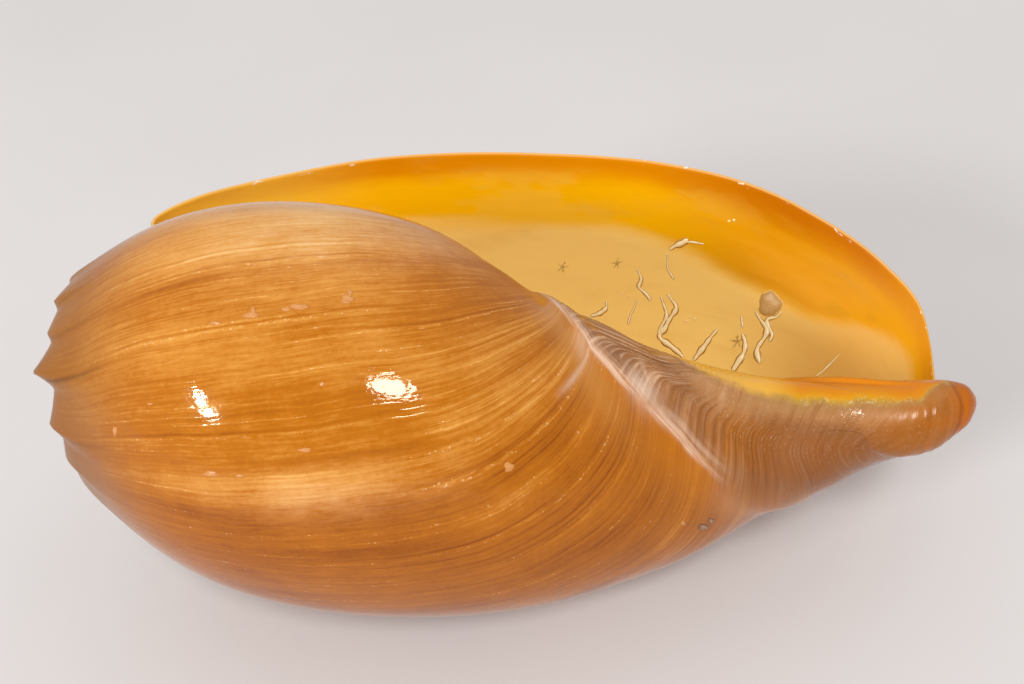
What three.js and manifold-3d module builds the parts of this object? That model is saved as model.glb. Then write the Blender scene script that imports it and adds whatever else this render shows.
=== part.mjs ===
import * as THREE from 'three';
import { mergeVertices } from 'three/addons/utils/BufferGeometryUtils.js';
import Module from 'manifold-3d';

// Melon shell, one hollow spiral piece. Working lengths are in millimetres.
// Shell frame: x runs along the coiling axis from the apex to the canal tip,
// u and w are square to it. Turn zero is the lip; earlier growth is negative.

const GROWTH_RATE = 0.1229;
const LIP_BEARING = 228.9;
const FIRST_TURN = -800;
const PROTOCONCH_RADIUS = 13.5;
const CORE_TIP = 257.5;
const REST_FLAT = 0.35;
const REST_BEARING = 131.0;
const REST_TILT = 2.1;
const LIP_THIN_TURN = 26;
const LIP_THIN_SHARE = 0.36;
const WAIST_SLIM = 7.0;
const KEEL_PLACE = 273;
const KEEL_DRIFT = 13;
const KEEL_RISE = 2.3;
const CROWN_RISE = 6.6;
const PLEAT_RISE = 9.5;
const PLEAT_REACH_WALL = 21;
const PLEAT_REACH_RAMP = 11;

// Outline of the last whorl in its growing plane, from the suture over the
// shoulder to the border of the columella: place along the axis, distance
// from the axis, turn of the growing edge in degrees, wall thickness.
const OUTLINE = [
  [7.5, 25, 14, 2.6], [10.3, 33, 13, 2.7], [9.6, 43, 12, 2.8],
  [5.2, 50.8, 11, 3.0], [8.2, 55.2, 10.5, 3.1], [15.2, 61.2, 9.5, 3.2], [25.5, 68.9, 7.2, 3.2],
  [40, 78.2, 4.2, 3.2], [60, 87.2, 2.3, 3.2], [86, 93.6, 1.4, 3.2],
  [115, 96.1, 1.1, 3.2], [145, 95.0, 1.1, 3.2], [173, 91.0, 1.0, 3.3], [196, 85.1, 0.2, 3.4],
  [217, 76.8, -2, 3.5], [233.5, 69.0, -4.6, 3.6], [247, 61.0, -8.6, 3.8], [257.5, 53.8, -14.6, 4.0],
  [266, 47.9, -23.5, 4.2], [273, 43.3, -32.5, 4.6], [281, 39.4, -45, 5.0], [290.5, 32.6, -66, 5.2],
  [301, 26.6, -96, 5.6], [314.5, 21.8, -126, 6.0], [329.5, 16.9, -141, 6.6], [346, 12.9, -150, 7.2],
  [364, 9.8, -166, 7.6], [385, 7.2, -187, 7.6],
];
const SHOULDER_COLUMN = 3;

// Crown pleats: turn in degrees and height as a share of the full rise.
const PLEATS = [
  [-112, 0.08], [-136, 0.12], [-158, 0.12], [-179, 0.22], [-198, 0.55], [-223, 1.05], [-243, 0.5],
  [-263, 0.5], [-284, 0.25], [-306, 0.35], [-328, 0.7], [-350, 0.9], [-373, 0.85], [-397, 0.8],
  [-421, 0.8], [-445, 0.75], [-469, 0.7], [-493, 0.6], [-517, 0.5], [-541, 0.35],
];

// Growing steps are closest near the pleats, where the rim folds.
const PLEAT_STEPS = [-10, 0, 5];
const OLD_PLEAT_STEPS = [-12, 0];

const RADIAN = Math.PI / 180;
const smooth = (x) => {
  const t = Math.min(1, Math.max(0, x));
  return t * t * (3 - 2 * t);
};
const bell = (x) => Math.exp(-x * x);

// How far the rim is lifted at one turn: a slow rise and a steep fall.
function pleatLift(turn) {
  let lift = 0;
  for (const [centre, share] of PLEATS) {
    const d = turn - centre;
    const slope = d < 0 ? 1 + d / 19 : 1 - d / 7;
    if (slope > 0) lift = Math.max(lift, share * Math.pow(slope, 1.25));
  }
  return lift;
}

// Profile point of column c at a given turn, before the growth scale.
function profile(c, turn) {
  let [x, r] = OUTLINE[c];
  const age = smooth((-turn - 180) / 100);
  r -= WAIST_SLIM * age * bell((x - 241) / 33);
  const keel = KEEL_PLACE - KEEL_DRIFT * smooth((-turn - 190) / 70);
  r += KEEL_RISE * (bell((x - keel) / 6) - 0.6 * bell((x - keel + 14) / 9));
  x -= CROWN_RISE * age * smooth((90 - x) / 90);
  const rim = OUTLINE[SHOULDER_COLUMN];
  const far = Math.hypot(OUTLINE[c][0] - rim[0], OUTLINE[c][1] - rim[1]);
  const reach = c > SHOULDER_COLUMN ? PLEAT_REACH_WALL : PLEAT_REACH_RAMP;
  const fold = pleatLift(turn) * bell(far / reach);
  x -= PLEAT_RISE * fold;
  r += 1.5 * fold;
  return [x, r];
}

// Outer and inner points of the radial section at one turn. A column that has
// already met the growing edge stays there, which gives the lip its course.
function section(turn) {
  const outer = [];
  const inner = [];
  for (let c = 0; c < OUTLINE.length; c += 1) {
    const edge = OUTLINE[c][2];
    const here = Math.min(turn, edge);
    const before = profile(Math.max(0, c - 1), here);
    const after = profile(Math.min(OUTLINE.length - 1, c + 1), here);
    const [x, r] = profile(c, here);
    const tx = after[0] - before[0];
    const tr = after[1] - before[1];
    const size = Math.hypot(tx, tr);
    const thin = LIP_THIN_SHARE + (1 - LIP_THIN_SHARE) * smooth((edge - here) / LIP_THIN_TURN);
    const wall = OUTLINE[c][3] * thin;
    const growth = Math.exp(GROWTH_RATE * here * RADIAN);
    const bearing = (LIP_BEARING + here) * RADIAN;
    const place = (px, pr) => new THREE.Vector3(
      px * growth, -pr * growth * Math.sin(bearing), pr * growth * Math.cos(bearing));
    outer.push(place(x, r));
    inner.push(place(x + (tr / size) * wall, Math.max(1.2, r - (tx / size) * wall)));
  }
  return { outer, inner };
}

function closedGeometry(points, faces) {
  const geometry = new THREE.BufferGeometry();
  const flat = new Float32Array(points.length * 3);
  points.forEach((p, i) => p.toArray(flat, i * 3));
  geometry.setAttribute('position', new THREE.BufferAttribute(flat, 3));
  geometry.setIndex(faces.flat());
  return geometry;
}

// Loops of equal length joined side by side and closed at both ends.
function skin(loops, capStart, capEnd) {
  const n = loops[0].length;
  const points = loops.flat();
  const faces = [];
  for (let i = 0; i < loops.length - 1; i += 1) {
    for (let j = 0; j < n; j += 1) {
      const a = i * n + j;
      const b = i * n + ((j + 1) % n);
      const across = points[a].distanceTo(points[b + n]);
      const other = points[b].distanceTo(points[a + n]);
      if (across < other) faces.push([a, b, b + n], [a, b + n, a + n]);
      else faces.push([a, b, a + n], [b, b + n, a + n]);
    }
  }
  const last = (loops.length - 1) * n;
  capStart(faces, 0, false);
  capEnd(faces, last, true);
  return closedGeometry(points, faces);
}

// Ruled end between outer and inner profile of a growing edge.
function ruledEnd(columns) {
  return (faces, base, isEnd) => {
    const n = columns * 2;
    for (let j = 0; j < columns - 1; j += 1) {
      const a = base + j;
      const b = base + j + 1;
      const c = base + n - 1 - j;
      const d = base + n - 2 - j;
      if (isEnd) faces.push([a, b, d], [a, d, c]);
      else faces.push([a, d, b], [a, c, d]);
    }
  };
}

function sectionTurns() {
  const turns = new Set([FIRST_TURN]);
  for (let turn = 14; turn > -164; turn -= 12) turns.add(turn);
  for (let turn = -565; turn > FIRST_TURN + 5; turn -= 24) turns.add(turn);
  for (const [centre] of PLEATS) {
    if (centre > -170) continue;
    const steps = centre > -380 ? PLEAT_STEPS : OLD_PLEAT_STEPS;
    for (const step of steps) turns.add(centre + step);
  }
  const sorted = [...turns].sort((a, b) => a - b);
  return sorted.filter((a, i) => i === 0 || a - sorted[i - 1] > 2.5);
}

// The spiral wall in stretches; each keeps only the columns that still grow.
function wallSegments() {
  const turns = sectionTurns();
  const segments = [];
  const stretch = 8;
  for (let i = 0; i < turns.length - 1; i += stretch) {
    const part = turns.slice(i, i + stretch + 1);
    let columns = OUTLINE.length;
    const done = OUTLINE.findIndex((row, c) => c > SHOULDER_COLUMN && row[2] <= part[0]);
    if (done > 0) columns = done + 1;
    const loops = part.map((turn) => {
      const { outer, inner } = section(turn);
      return [...outer.slice(0, columns), ...inner.slice(0, columns).reverse()];
    });
    segments.push(skin(loops, ruledEnd(columns), ruledEnd(columns)));
  }
  return segments;
}

// Columella: a rod beside the axis, rounded at the canal tip. It carries low
// winding folds on the side that faces the opening.
const CORE_RADIUS_SHARE = 0.0383;
const CORE_OFFSET_SHARE = 0.0238;
const CORE_FOLDS = [118, 150, 182];
const CORE_SIDES = 18;
const CORE_PLACES = [4, 12, 22, 36, 54, 74, 94, 114, 133, 150, 166, 181, 196, 210];
const CANAL_TIP = [[222, 8.6, 5.3], [235, 9.3, 5.6], [243, 9.1, 4.2], [249, 8.1, 2.7],
  [253, 6.7, 1.8], [256, 4.8, 1.4], [CORE_TIP, 2.4, 1.0]];

function coreLoop(x, radius, offset) {
  const border = LIP_BEARING + Math.log(x / 346) / GROWTH_RATE / RADIAN;
  const around = (v) => ((v % 360) + 540) % 360 - 180;
  const loop = [];
  for (let i = 0; i < CORE_SIDES; i += 1) {
    const bearing = (i / CORE_SIDES) * 360;
    const side = (bearing - 90) * RADIAN;
    let r = offset * Math.cos(side) + Math.sqrt(radius ** 2 - (offset * Math.sin(side)) ** 2);
    for (const fold of CORE_FOLDS) {
      r += 0.008 * Math.min(x, 235) * bell(around(bearing - border + fold) / 12) * smooth((250 - x) / 30);
    }
    loop.push(new THREE.Vector3(x, -r * Math.sin(bearing * RADIAN), r * Math.cos(bearing * RADIAN)));
  }
  return loop;
}

function columella() {
  const loops = CORE_PLACES.map((x) => coreLoop(x, CORE_RADIUS_SHARE * x, CORE_OFFSET_SHARE * x));
  for (const [x, radius, offset] of CANAL_TIP) loops.push(coreLoop(x, radius, offset));
  const fan = (faces, base, isEnd) => {
    for (let j = 1; j < CORE_SIDES - 1; j += 1) {
      if (isEnd) faces.push([base, base + j, base + j + 1]);
      else faces.push([base, base + j + 1, base + j]);
    }
  };
  return skin(loops, fan, fan);
}

const wasm = await Module();
wasm.setup();

function solid(geometry) {
  geometry.deleteAttribute('normal');
  geometry.deleteAttribute('uv');
  const merged = mergeVertices(geometry, 1e-4);
  const index = merged.index.array;
  const kept = [];
  for (let i = 0; i < index.length; i += 3) {
    const [a, b, c] = [index[i], index[i + 1], index[i + 2]];
    if (a !== b && b !== c && c !== a) kept.push([a, b, c]);
  }
  const build = (faces) => new wasm.Manifold(new wasm.Mesh({
    numProp: 3,
    vertProperties: new Float32Array(merged.attributes.position.array),
    triVerts: new Uint32Array(faces.flat()),
  }));
  const body = build(kept);
  return body.volume() > 0 ? body : build(kept.map(([a, b, c]) => [a, c, b]));
}

let body = solid(columella());
const dome = new THREE.SphereGeometry(PROTOCONCH_RADIUS, 14, 8);
dome.scale(0.8, 1, 1);
dome.translate(6, 0, 0);
body = body.add(solid(dome));
for (const segment of wallSegments()) body = body.add(solid(segment));
const largest = (parts) => parts.reduce((a, b) => (a.volume() > b.volume() ? a : b));
// Closed pockets between the first whorls and the columella are filled.
body = largest(body.decompose());

// Resting place: the side that lies lowest when the shell settles on a table,
// with X along the shell and the table as the plane of zero height.
const down = new THREE.Vector3(
  Math.sin(REST_TILT * RADIAN),
  -Math.cos(REST_TILT * RADIAN) * Math.sin(REST_BEARING * RADIAN),
  Math.cos(REST_TILT * RADIAN) * Math.cos(REST_BEARING * RADIAN));
const up = down.clone().negate();
const along = new THREE.Vector3(1, 0, 0).addScaledVector(up, -up.x).normalize();
const away = new THREE.Vector3().crossVectors(up, along);
const turned = new THREE.Matrix4().makeBasis(along, away, up).transpose();

function toGeometry(manifold) {
  const mesh = manifold.getMesh();
  const result = new THREE.BufferGeometry();
  result.setAttribute('position', new THREE.BufferAttribute(new Float32Array(mesh.vertProperties), 3));
  result.setIndex(new THREE.BufferAttribute(new Uint32Array(mesh.triVerts), 1));
  return result;
}

const raw = toGeometry(body).applyMatrix4(turned);
raw.computeBoundingBox();
const box = raw.boundingBox;
raw.translate(-(box.min.x + box.max.x) / 2, -(box.min.y + box.max.y) / 2, -box.min.z - REST_FLAT);

// A hair is worn off under the belly, so that it stands on a real flat spot.
const below = new THREE.BoxGeometry(400, 400, 20);
below.translate(0, 0, -10);
body = solid(raw).subtract(solid(below));

const geometry = toGeometry(body);
geometry.computeVertexNormals();

const material = new THREE.MeshStandardMaterial({ color: 0xb87a3c, roughness: 0.25, metalness: 0 });
const shell = new THREE.Mesh(geometry, material);
shell.name = 'shell';
const group = new THREE.Group();
group.add(shell);
export default group;
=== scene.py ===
import math

import bmesh
import bpy
import numpy as np
from mathutils import Matrix, Vector
from mathutils.bvhtree import BVHTree


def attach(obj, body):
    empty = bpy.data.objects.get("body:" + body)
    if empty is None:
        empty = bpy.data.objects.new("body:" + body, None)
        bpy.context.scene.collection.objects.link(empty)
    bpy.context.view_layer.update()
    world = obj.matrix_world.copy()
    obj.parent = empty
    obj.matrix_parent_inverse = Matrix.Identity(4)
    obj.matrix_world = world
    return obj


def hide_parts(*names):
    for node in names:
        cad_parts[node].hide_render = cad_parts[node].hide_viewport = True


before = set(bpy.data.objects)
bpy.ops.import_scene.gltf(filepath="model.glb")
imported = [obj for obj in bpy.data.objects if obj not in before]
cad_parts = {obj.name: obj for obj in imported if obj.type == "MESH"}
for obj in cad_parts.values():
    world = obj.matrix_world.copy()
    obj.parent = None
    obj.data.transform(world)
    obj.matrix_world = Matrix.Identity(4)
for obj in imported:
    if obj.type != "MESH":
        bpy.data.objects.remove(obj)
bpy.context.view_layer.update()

# Melon shell. Working lengths are in millimetres in the shell's own frame:
# x along the coiling axis from the crown to the canal tip, u and w square to it.
# A turn is in degrees. Turn zero is the lip, and earlier growth is negative.

MM = 0.001
GROWTH_RATE = 0.1229
LIP_BEARING = 228.9
REST_BEARING = 131.0
REST_TILT = 2.1
SHELL_PLACE = (-126.4062, -15.2348, 81.4139)

# How much the waist narrows with age, its place along the axis and its reach.
WAIST_SLIM = (7.0, 241, 33)
KEEL_PLACE = 273
KEEL_DRIFT = 13
KEEL_RISE = 2.3
KEEL_HALF_WIDTH = 6
# The groove beside the keel: share of its rise, distance from it, half width.
KEEL_GROOVE = (0.6, 14, 9)
CROWN_RISE = 6.6
CROWN_REACH = 90
PLEAT_RISE = 9.5
PLEAT_FLARE = 1.5
PLEAT_SLOW = 21
PLEAT_STEEP = 8.5
PLEAT_HOLLOW = 1.6
PLEAT_REACH_WALL = 21
PLEAT_REACH_RAMP = 11
LIP_THIN_TURN = 26
LIP_THIN_SHARE = 0.36
LIP_ROUND_TURN = 0.9
# Low dents and swells of the lip: depth, then middle and reach along the profile.
LIP_TUCK = (1.8, 358, 13)
LIP_CORNER_SWELL = (1.6, 306, 13)
# The wall draws back from the canal tip: how far, from where and over what length.
TIP_WALL_TUCK = (4.0, 418, 20)
NEAREST_AXIS = 1.2
# How many degrees the lip itself reaches on, by place along the profile.
LIP_REACH = np.array([(60, 0), (105, 1.1), (165, 1.4), (195, 2.0), (245, 2.0), (288, 0)])
LIP_REACH_TURN = 40
# Fasciole ridges: degrees of growth from one to the next, and two slow wanderings.
RIDGE_RISE = 0.42
RIDGE_TURN = 3.4
RIDGE_DRIFT = 9.1
RIDGE_JITTER = 3.7
WAVE_RISE = 0.16

# Outline of the last whorl from the suture over the shoulder to the column:
# place along the axis, distance from it, turn of the growing edge, wall.
OUTLINE = np.array([
    (7.5, 25, 14, 2.6), (10.3, 33, 13, 2.7), (9.6, 43, 12, 2.8),
    (5.2, 50.8, 11, 3.0), (8.2, 55.2, 10.5, 3.1), (15.2, 61.2, 9.5, 3.2),
    (25.5, 68.9, 7.2, 3.2), (40, 78.2, 4.2, 3.2), (60, 87.2, 2.3, 3.2),
    (86, 93.6, 1.4, 3.2), (115, 96.1, 1.1, 3.2), (145, 95.0, 1.1, 3.2),
    (173, 91.0, 1.0, 3.3), (196, 85.1, 0.2, 3.4), (217, 76.8, -2, 3.5),
    (233.5, 69.0, -4.6, 3.6), (247, 61.0, -8.6, 3.8), (257.5, 53.8, -14.6, 4.0),
    (266, 47.9, -23.5, 4.2), (273, 43.3, -32.5, 4.6), (281, 39.4, -45, 5.0),
    (290.5, 32.6, -66, 5.2), (301, 26.6, -96, 5.6), (314.5, 21.8, -126, 6.0),
    (329.5, 16.9, -141, 6.6), (346, 12.9, -150, 7.2), (364, 9.8, -166, 7.6),
    (385, 7.2, -187, 7.6),
])
SHOULDER_ROW = 3

# Crown pleats: turn and height as a share of the full rise.
PLEATS = [
    (-112, 0.08), (-136, 0.12), (-158, 0.12), (-179, 0.22), (-198, 0.5),
    (-223, 0.98), (-243, 0.36), (-263, 0.38), (-284, 0.25), (-306, 0.35),
    (-328, 0.7), (-350, 0.9), (-373, 0.85), (-397, 0.8), (-421, 0.8),
    (-445, 0.75), (-469, 0.7), (-493, 0.6), (-517, 0.5), (-541, 0.35),
]

# Steps between growth lines of the mesh: from, to, step in degrees.
ROW_STEPS = [(-820, -560, 8), (-560, -440, 4), (-440, -330, 2.2), (-330, -210, 1.3),
             (-210, -60, 0.9), (-60, -2, 2.0)]
LIP_ROWS = [-2, -1.4, -0.9, -0.7, -0.5, -0.3, -0.15, -0.05, 0]
# Columns across the outline: from, to, step along it in millimetres.
COLUMN_STEPS = [(0, 62, 2.4), (62, 270, 5.6), (270, 400, 3.4), (400, 439, 5)]

CORE_RADIUS_SHARE = 0.0383
CORE_OFFSET_SHARE = 0.0238
CORE_FOLDS = (118, 150, 182)
CORE_SIDES = 54
CORE_END = 257.5
CORE_STEPS = [(4, 204, 4), (204, 226, 1.4), (226, 256, 0.6), (256, CORE_END, 0.3)]
HUG_BLEND = 2.0
TIP_ARC_BULGE = 2.7
TIP_ARC_STEP = 2.3
TIP_ARC_RISE = 0.2
TIP_ARC_SLANT = 0.13
TIP_SWELL = 2.7
# Column towards the canal tip: place, radius, offset from the axis.
CANAL_TIP = np.array([
    (210, 8.04, 5.0), (222, 8.6, 5.3), (235, 9.3, 5.6), (243, 9.1, 4.2), (249, 8.1, 2.7),
    (253, 6.7, 1.8), (256, 4.8, 1.4), (CORE_END, 2.4, 1.0),
])
# The first chamber, a low dome in the middle of the crown.
DOME_RADIUS = 13.5
DOME_FLATNESS = 0.8
DOME_PLACE = 6
DOME_SIDES = (40, 24)
DOME_TAGS = {"growth": -620, "place": 26, "keel": -265, "callus": -12}
# Border of the callus strip round the column: place along the axis, bearing.
CALLUS_BORDER = np.array([
    (140, -135), (158, -100), (172, -50), (180, -25), (191, -7.4), (208, 10.7), (222, 12.3), (235, 4.5),
    (241, -1.7), (245.4, -40), (248, -60),
])
CALLUS_FAR_BEARING = 140


def smooth(x):
    t = np.clip(x, 0, 1)
    return t * t * (3 - 2 * t)


def bell(x):
    return np.exp(-np.square(x))


class SmoothCurve:
    """A curve with even bends through rows of numbers, read at a knot."""

    def __init__(self, knots, rows):
        self.knots, self.rows = np.asarray(knots, float), np.asarray(rows, float)
        count = len(self.knots)
        gap = np.diff(self.knots)
        system = np.eye(count)
        pull = np.zeros(self.rows.shape)
        slope = np.diff(self.rows, axis=0) / gap[:, None]
        for i in range(1, count - 1):
            system[i, i - 1:i + 2] = gap[i - 1], 2 * (gap[i - 1] + gap[i]), gap[i]
            pull[i] = 6 * (slope[i] - slope[i - 1])
        self.bend = np.linalg.solve(system, pull)
        self.gap = gap

    def __call__(self, at):
        at = np.clip(np.asarray(at, float), self.knots[0], self.knots[-1])
        i = np.clip(np.searchsorted(self.knots, at, side="right") - 1, 0, len(self.gap) - 1)
        h = self.gap[i][..., None]
        a = (self.knots[i + 1] - at)[..., None]
        b = (at - self.knots[i])[..., None]
        low, high = self.rows[i], self.rows[i + 1]
        bend_low, bend_high = self.bend[i], self.bend[i + 1]
        return ((bend_low * a ** 3 + bend_high * b ** 3) / (6 * h)
                + (low / h - bend_low * h / 6) * a + (high / h - bend_high * h / 6) * b)


steps_along = np.hypot(*np.diff(OUTLINE[:, :2], axis=0).T)
outline_knots = np.concatenate([[0], np.cumsum(steps_along)])
outline = SmoothCurve(outline_knots, OUTLINE)
SHOULDER = outline_knots[SHOULDER_ROW]
PROFILE_END = outline_knots[-1]
column_tip = SmoothCurve(CANAL_TIP[:, 0], CANAL_TIP)


def pleat_lift(turn):
    """How far the crown's rim is folded up: a slow rise and a steep fall."""
    lift = np.zeros(np.shape(turn))
    for centre, share in PLEATS:
        off = turn - centre
        slope = np.where(off < 0, 1 + off / PLEAT_SLOW, 1 - off / PLEAT_STEEP)
        lift = np.maximum(lift, share * np.maximum(slope, 0) ** PLEAT_HOLLOW)
    return lift


def keel_course(growth):
    """Place of the keel along the profile, where the growth lines turn back."""
    return 299 + 18 * np.clip((growth + 191) / 41, 0, 1) + 0.19 * np.maximum(0, growth + 150)


def line_lag(along, growth):
    """How many degrees a growth line lags behind the lip's own course."""
    old = smooth((-growth - 20) / 80)
    tilt = 0.03 + 0.05 * smooth((-growth - 175) / 60)
    left = -tilt * np.clip(along - 40, 0, 150)
    depth = 13 + 27 * smooth((-growth - 125) / 65)
    keel = keel_course(growth)
    left = left - depth * np.exp(-np.maximum(keel - along, 0) / 42) * (along > 60)
    past = np.minimum(along - keel, 56)
    right = 2.1 * (np.sqrt((past - 17) ** 2 + 25) + past - 17) / 2
    right = np.where(past > 0, right, 0)
    return old * (left + right)


def profile(along, turn):
    """Place along the axis and distance from it, before the growth scale."""
    x, r, _, _ = np.moveaxis(outline(along), -1, 0)
    rim = OUTLINE[SHOULDER_ROW]
    far = np.hypot(x - rim[0], r - rim[1])
    age = smooth((-turn - 180) / 100)
    keel = KEEL_PLACE - KEEL_DRIFT * smooth((-turn - 190) / 70)
    depth, middle, spread = WAIST_SLIM
    slim = r - depth * age * bell((x - middle) / spread)
    share, before, half_width = KEEL_GROOVE
    groove = share * bell((x - keel + before) / half_width)
    slim = slim + KEEL_RISE * (bell((x - keel) / KEEL_HALF_WIDTH) - groove)
    reach = np.where(along > SHOULDER, PLEAT_REACH_WALL, PLEAT_REACH_RAMP)
    fold = pleat_lift(turn) * bell(far / reach)
    crown = x - CROWN_RISE * age * smooth((CROWN_REACH - x) / CROWN_REACH)
    return crown - PLEAT_RISE * fold, slim + PLEAT_FLARE * fold


def wind(x, r, turn):
    """A profile point turned about the axis and scaled by its growth."""
    growth = np.exp(GROWTH_RATE * np.radians(turn))
    bearing = np.radians(LIP_BEARING + turn)
    return np.stack([x * growth, -r * growth * np.sin(bearing),
                     r * growth * np.cos(bearing)], -1)


def ridge_phase(growth, sine):
    """Count of the ridges up to a growth line, for an array or for a shader."""
    return (growth / RIDGE_TURN + sine(growth / RIDGE_DRIFT) * 0.8
            + sine(growth / RIDGE_JITTER + 1) * 0.35)


def fasciole_ridges(along, growth):
    """Low ridges that follow the growth lines behind the keel."""
    past = along - keel_course(growth)
    reach = 42 + 36 * smooth((-growth - 150) / 20)
    where = smooth((past + 4) / 10) * smooth((reach - past) / 18)
    wave = np.abs(np.sin(math.pi * ridge_phase(growth, np.sin))) - 0.5
    return RIDGE_RISE * where * wave * smooth((-growth - 30) / 30)


def growth_waves(along, growth):
    """Slow swells of the wall, as the shell grew in spells."""
    swell = np.sin(growth / 3.9 + 0.6 * np.sin(growth / 11)) * np.sin(growth / 17 + 2)
    return WAVE_RISE * swell * smooth((along - 60) / 60) * smooth(-growth / 12)


def tip_line(place, bearing):
    """Place of the arc round the canal tip that a point lies on."""
    slant = TIP_ARC_SLANT * bearing * smooth((246 - place) / 20) * smooth((bearing + 60) / 60)
    return place + slant - TIP_ARC_BULGE * bell((bearing - 25) / 60)


def bearing_of(points):
    return np.degrees(np.arctan2(-points[..., 1], points[..., 2]))


def above_callus_border(points):
    """Millimetres from the callus strip's border, in towards the mouth."""
    x, far = points[..., 0], np.hypot(points[..., 1], points[..., 2])
    bearing = bearing_of(points)
    border = np.interp(x, CALLUS_BORDER[:, 0], CALLUS_BORDER[:, 1])
    turned = np.where(bearing > CALLUS_FAR_BEARING, bearing - CALLUS_FAR_BEARING,
                      border - bearing)
    return np.clip(np.radians(turned) * np.minimum(far, 14), -12, 5.5)


def column_reach(place, bearing):
    """Distance of the column's face from the axis, and where its folds begin."""
    tip = column_tip(np.maximum(place, 210))
    radius = np.where(place < 210, CORE_RADIUS_SHARE * place, tip[..., 1])
    offset = np.where(place < 210, CORE_OFFSET_SHARE * place, tip[..., 2])
    side = np.radians(bearing - 90)
    reach = offset * np.cos(side) + np.sqrt(radius ** 2 - (offset * np.sin(side)) ** 2)
    border = LIP_BEARING + np.degrees(np.log(place / 346) / GROWTH_RATE)
    for fold in CORE_FOLDS:
        from_fold = (bearing - border + fold + 180) % 360 - 180
        depth = 0.008 * np.minimum(place, 235) * smooth((250 - place) / 30)
        reach = reach + depth * bell(from_fold / 12)
    swell = smooth((place - 216) / 26) * smooth((258 - place) / 12)
    reach = reach + TIP_SWELL * swell * bell((bearing - 95) / 50)
    brown = smooth((bearing + 25) / 25) * smooth((135 - bearing) / 30)
    arcs = np.abs(np.sin(math.pi * tip_line(place, bearing) / TIP_ARC_STEP)) - 0.5
    return reach + TIP_ARC_RISE * arcs * brown * smooth((place - 214) / 14)


def hug_column(x, r, turn, growth, along):
    """The outer face passes over the column instead of sinking into it."""
    scale = np.exp(GROWTH_RATE * np.radians(turn))
    place = np.clip(x * scale, 4, CORE_END)
    reach = column_reach(place, LIP_BEARING + turn) / scale
    lift = (0.25 * smooth(-growth / 5) - 1.2 * smooth((along - 428) / 11) - 0.3) / scale
    gap = r - reach - lift
    soft = HUG_BLEND / scale
    over = 0.5 * (r + reach + lift + np.sqrt(gap ** 2 + soft ** 2) - soft * 0.5)
    share = smooth((along - 350) / 30)
    return r + (over - r) * share


def wall_points(growth, along, inner):
    """Points of the wall's outer or inner face on the growth lines."""
    edge = outline(along)[..., 2]
    edge = edge + (np.interp(along, LIP_REACH[:, 0], LIP_REACH[:, 1])
                   * smooth(1 + growth / LIP_REACH_TURN))
    turn = growth + edge + line_lag(along, growth)
    step = 0.4
    x, r = profile(along, turn)
    ahead = profile(along + step, turn)
    behind = profile(along - step, turn)
    tx, tr = ahead[0] - behind[0], ahead[1] - behind[1]
    size = np.hypot(tx, tr)
    thin = LIP_THIN_SHARE + (1 - LIP_THIN_SHARE) * smooth(-growth / LIP_THIN_TURN)
    wall = outline(along)[..., 3] * thin
    near = np.clip(-growth / LIP_ROUND_TURN, 0, 1)
    round_off = 0.5 * wall * (1 - np.sqrt(1 - (1 - near) ** 2))
    relief = fasciole_ridges(along, growth) + growth_waves(along, growth)
    inset = wall - round_off if inner else round_off - relief
    rise, middle, reach = LIP_CORNER_SWELL
    inset = inset - rise * bell((along - middle) / reach) * smooth(1 + growth / LIP_REACH_TURN)
    inset = np.where(growth <= ROW_STEPS[0][0], 0.5 * wall, inset)
    x, r = x + tr / size * inset, np.maximum(r - tx / size * inset, NEAREST_AXIS)
    depth, middle, reach = LIP_TUCK
    r = r - depth * bell((along - middle) / reach) * smooth(1 + growth / 14)
    depth, start, length = TIP_WALL_TUCK
    x = x - depth * smooth((along - start) / length) * smooth(1 + growth / 12)
    if not inner:
        r = hug_column(x, r, turn, growth, along)
    return wind(x, r, turn)


tilt, lowest = math.radians(REST_TILT), math.radians(REST_BEARING)
up_axis = Vector((-math.sin(tilt), math.cos(tilt) * math.sin(lowest),
                  -math.cos(tilt) * math.cos(lowest)))
x_axis = (Vector((1, 0, 0)) - up_axis * up_axis.x).normalized()
y_axis = up_axis.cross(x_axis)
TO_TABLE = np.array([x_axis, y_axis, up_axis])


def on_table(points):
    """Shell frame in millimetres to the part's frame in metres, resting at zero."""
    placed = points @ TO_TABLE.T + np.array(SHELL_PLACE)
    placed[..., 2] = np.maximum(placed[..., 2], 0)
    return placed * MM


def stepped(steps):
    values = []
    for low, high, step in steps:
        count = max(1, round((high - low) / step))
        values += [low + (high - low) * i / count for i in range(count)]
    return values


def coat(verts, finish):
    """Smooth faces of one material on the given vertices, as a set."""
    faces = {face for vert in verts for face in vert.link_faces}
    for face in faces:
        face.smooth = True
        face.material_index = finish
    return faces


def grid_sheet(mesh, points, tags, finish=0):
    """Adds a grid whose vertices take their places and tags from arrays."""
    rows, columns = points.shape[:2]
    verts = bmesh.ops.create_grid(
        mesh, x_segments=columns - 1, y_segments=rows - 1, size=1)["verts"]
    layers = [(mesh.verts.layers.float[name], tag) for name, tag in tags.items()]
    for vert in verts:
        i = round((vert.co.x + 1) / 2 * (columns - 1))
        j = round((vert.co.y + 1) / 2 * (rows - 1))
        vert.co = points[j, i]
        for layer, tag in layers:
            vert[layer] = tag[j, i]
    return verts, coat(verts, finish)


def put_in_scene(name, mesh, *materials):
    """Turns a finished bmesh into a named object with its materials."""
    shape = bpy.data.meshes.new(name)
    mesh.to_mesh(shape)
    mesh.free()
    for material in materials:
        shape.materials.append(material)
    piece = bpy.data.objects.new(name, shape)
    bpy.context.scene.collection.objects.link(piece)
    return piece


TAGS = ("growth", "place", "inside", "keel", "callus", "arc")
OUTSIDE, INSIDE, COLUMN = 0, 1, 2
MERGE_GAP = 2e-7
MARK_MERGE_GAP = 1e-7


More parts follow.
